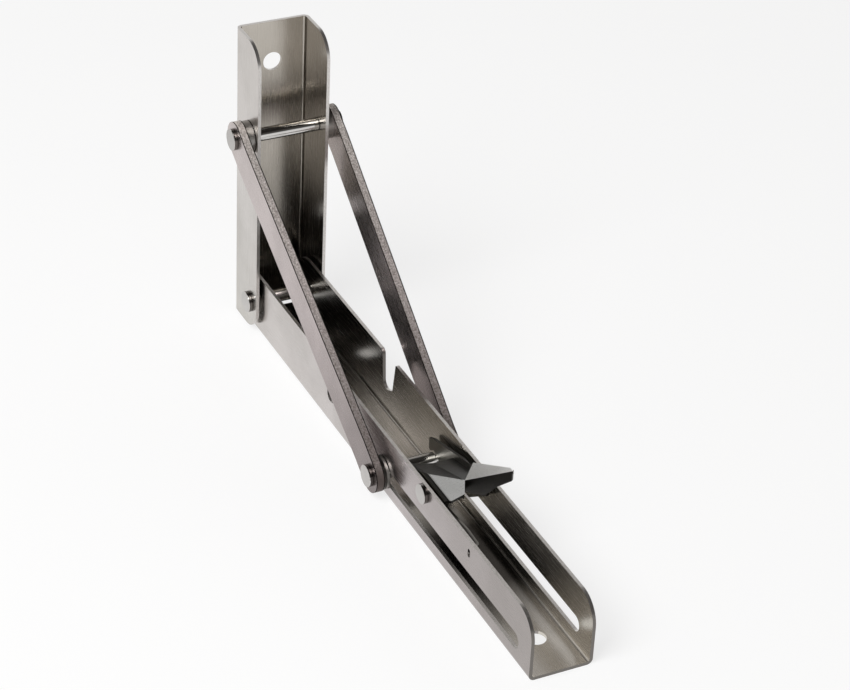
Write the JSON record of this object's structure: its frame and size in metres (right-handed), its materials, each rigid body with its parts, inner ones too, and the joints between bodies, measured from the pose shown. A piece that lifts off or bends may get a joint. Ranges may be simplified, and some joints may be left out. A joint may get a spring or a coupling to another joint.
{
  "type": "folding shelf bracket",
  "caption": "Folding shelf bracket of two hinged pressed steel channels and a pair of flat struts, locked by a spring thumb lever.",
  "frame": {"origin": "middle of the shelf arm's length and width, on the underside of its web", "axes": "+X along the shelf arm, away from the wall; +Y across it, towards the thumb wing; +Z along the wall channel, away from the arm's web"},
  "size_m": [0.3, 0.0538, 0.151],
  "materials": {
    "channel_steel": "satin stainless sheet",
    "strut_steel": "satin stainless bar with blanked edges",
    "lever_steel": "satin stainless sheet",
    "spring_wire": "drawn wire",
    "sleeve_steel": "polished tube",
    "bush_steel": "turned steel",
    "rivet_steel": "polished rivet"
  },
  "bodies": {
    "arm": {"shelf_arm": "channel_steel", "lever_pin": "rivet_steel", "lever_spring": "spring_wire"},
    "wall": {"wall_channel": "channel_steel", "hinge_pin": "rivet_steel", "hinge_sleeve": "sleeve_steel", "left_hinge_washer": "bush_steel", "right_hinge_washer": "bush_steel"},
    "struts": {"left_strut": "strut_steel", "right_strut": "strut_steel", "upper_pin": "rivet_steel", "upper_sleeve": "sleeve_steel", "left_upper_bush": "bush_steel", "right_upper_bush": "bush_steel", "left_lower_stud": "rivet_steel", "right_lower_stud": "rivet_steel"},
    "slot_slider": {"slot_pin": "rivet_steel", "slot_sleeve": "sleeve_steel", "left_slot_roller": "sleeve_steel", "right_slot_roller": "sleeve_steel", "left_lower_collar": "bush_steel", "right_lower_collar": "bush_steel", "left_lower_bush": "bush_steel", "right_lower_bush": "bush_steel"},
    "lever": {"release_lever": "lever_steel"}
  },
  "joints": [
    {"name": "fold", "type": "hinge", "parent": "arm", "child": "wall", "pos_m": [-0.1321, 0, 0.0152], "axis": [0, 1, 0], "range_deg": [0, 90]},
    {"name": "strut_swing", "type": "hinge", "parent": "wall", "child": "struts", "pos_m": [-0.1328, 0, 0.1032], "axis": [0, 1, 0], "range_deg": [-121, 0]},
    {"name": "pin_slide", "type": "slide", "parent": "arm", "child": "slot_slider", "axis": [1, 0, 0], "range_m": [0, 0.1156]},
    {"name": "lever_press", "type": "hinge", "parent": "arm", "child": "lever", "pos_m": [0.0515, 0, 0.026], "axis": [0, 1, 0], "range_deg": [0, 7], "stiffness_Nm_per_rad": 0.6, "springref_deg": -20.05}
  ],
  "couplings": [
    {"joint": "strut_swing", "follows": "fold", "ratio": -1.3423},
    {"joint": "pin_slide", "follows": "fold", "m_per_rad": 0.073462}
  ]
}
